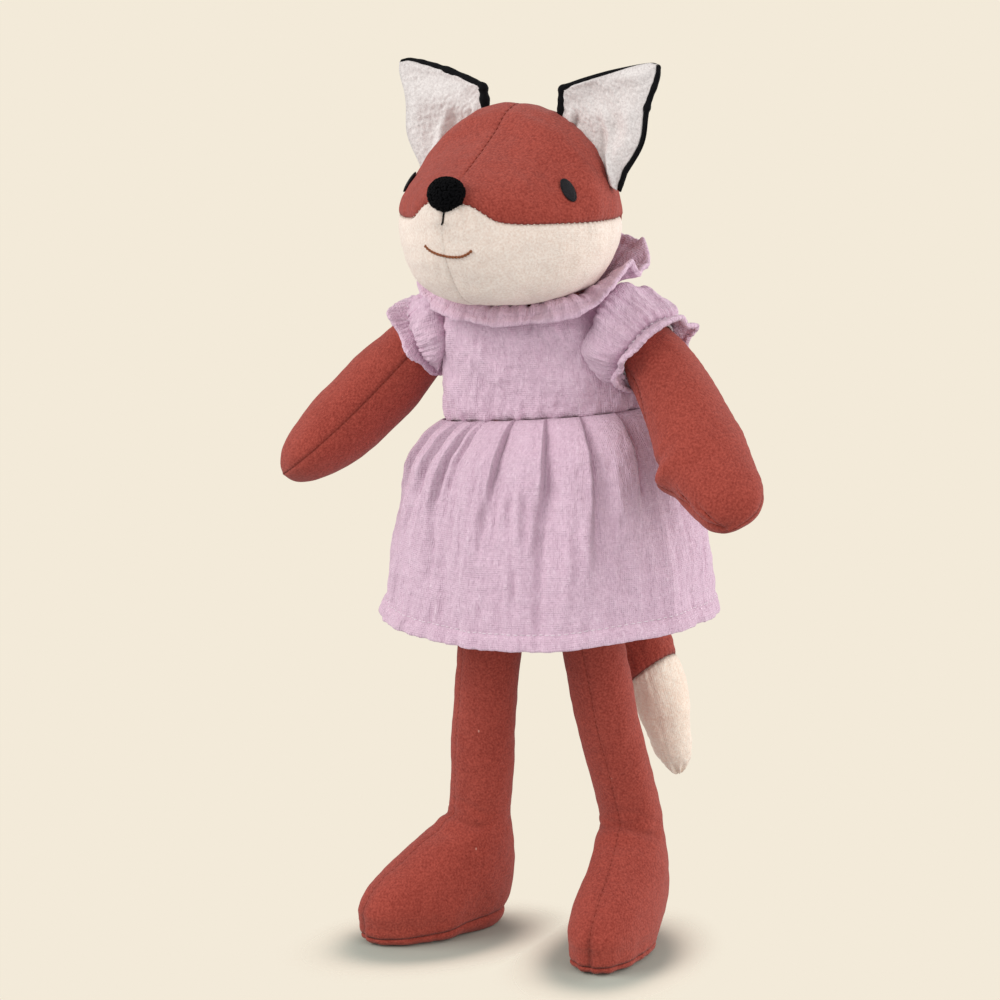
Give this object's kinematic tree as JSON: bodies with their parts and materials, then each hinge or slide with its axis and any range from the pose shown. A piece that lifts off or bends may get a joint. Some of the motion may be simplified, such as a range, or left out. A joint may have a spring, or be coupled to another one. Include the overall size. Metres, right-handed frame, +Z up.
{
  "type": "plush fox",
  "caption": "Standing stuffed cotton fox in a gathered dress with ruffled neck and puffed sleeves; head turns, arms, legs and tail swing at their sewn joints.",
  "frame": {"origin": "middle of the bounding box on the ground, below the trunk", "axes": "+Z up, the fox looks along -Y, its left side is +X"},
  "size_m": [0.2071, 0.1499, 0.3445],
  "materials": {
    "rust_cotton": "matt brushed cotton, rust red",
    "cream_cotton": "matt brushed cotton, cream",
    "linen_lining": "matt crinkled linen, off white",
    "black_cotton": "matt black cotton",
    "black_knit": "soft black knit",
    "black_thread": "black satin-stitched thread",
    "lilac_gauze": "crinkled double gauze, dusty lilac",
    "white_elastic": "white knitted elastic"
  },
  "bodies": {
    "trunk": {"torso": "rust_cotton", "bodice_front": "lilac_gauze", "bodice_back_left": "lilac_gauze", "bodice_back_right": "lilac_gauze", "back_placket": "lilac_gauze", "collar_ruffle": "lilac_gauze", "skirt": "lilac_gauze"},
    "head": {"head_hood": "rust_cotton", "face_panel": "cream_cotton", "nose": "black_knit", "eye_left": "black_thread", "eye_right": "black_thread", "ear_left_lining": "linen_lining", "ear_left_back": "black_cotton", "ear_right_lining": "linen_lining", "ear_right_back": "black_cotton"},
    "left_arm": {"arm_left": "rust_cotton", "sleeve_left": "lilac_gauze", "cuff_elastic_left": "white_elastic"},
    "right_arm": {"arm_right": "rust_cotton", "sleeve_right": "lilac_gauze", "cuff_elastic_right": "white_elastic"},
    "left_leg": {"leg_left": "rust_cotton", "sole_left": "rust_cotton"},
    "right_leg": {"leg_right": "rust_cotton", "sole_right": "rust_cotton"},
    "tail": {"tail_base": "rust_cotton", "tail_tip": "cream_cotton"}
  },
  "joints": [
    {"name": "neck_turn", "type": "hinge", "parent": "trunk", "child": "head", "pos_m": [0, -0.0125, 0.2555], "axis": [0, 0, 1], "range_deg": [-25, 25]},
    {"name": "shoulder_left", "type": "hinge", "parent": "trunk", "child": "left_arm", "pos_m": [0.0385, -0.0075, 0.241], "axis": [-1, 0, 0], "range_deg": [-60, 120]},
    {"name": "shoulder_right", "type": "hinge", "parent": "trunk", "child": "right_arm", "pos_m": [-0.0385, -0.0075, 0.241], "axis": [-1, 0, 0], "range_deg": [-60, 120]},
    {"name": "hip_left", "type": "hinge", "parent": "trunk", "child": "left_leg", "pos_m": [0.02, -0.003, 0.155], "axis": [-1, 0, 0], "range_deg": [-3, 55]},
    {"name": "hip_right", "type": "hinge", "parent": "trunk", "child": "right_leg", "pos_m": [-0.02, -0.003, 0.155], "axis": [-1, 0, 0], "range_deg": [-18, 40]},
    {"name": "tail_wag", "type": "hinge", "parent": "trunk", "child": "tail", "pos_m": [0.002, 0.02665, 0.15699], "axis": [0, 1, 0], "range_deg": [-8, 35]}
  ]
}
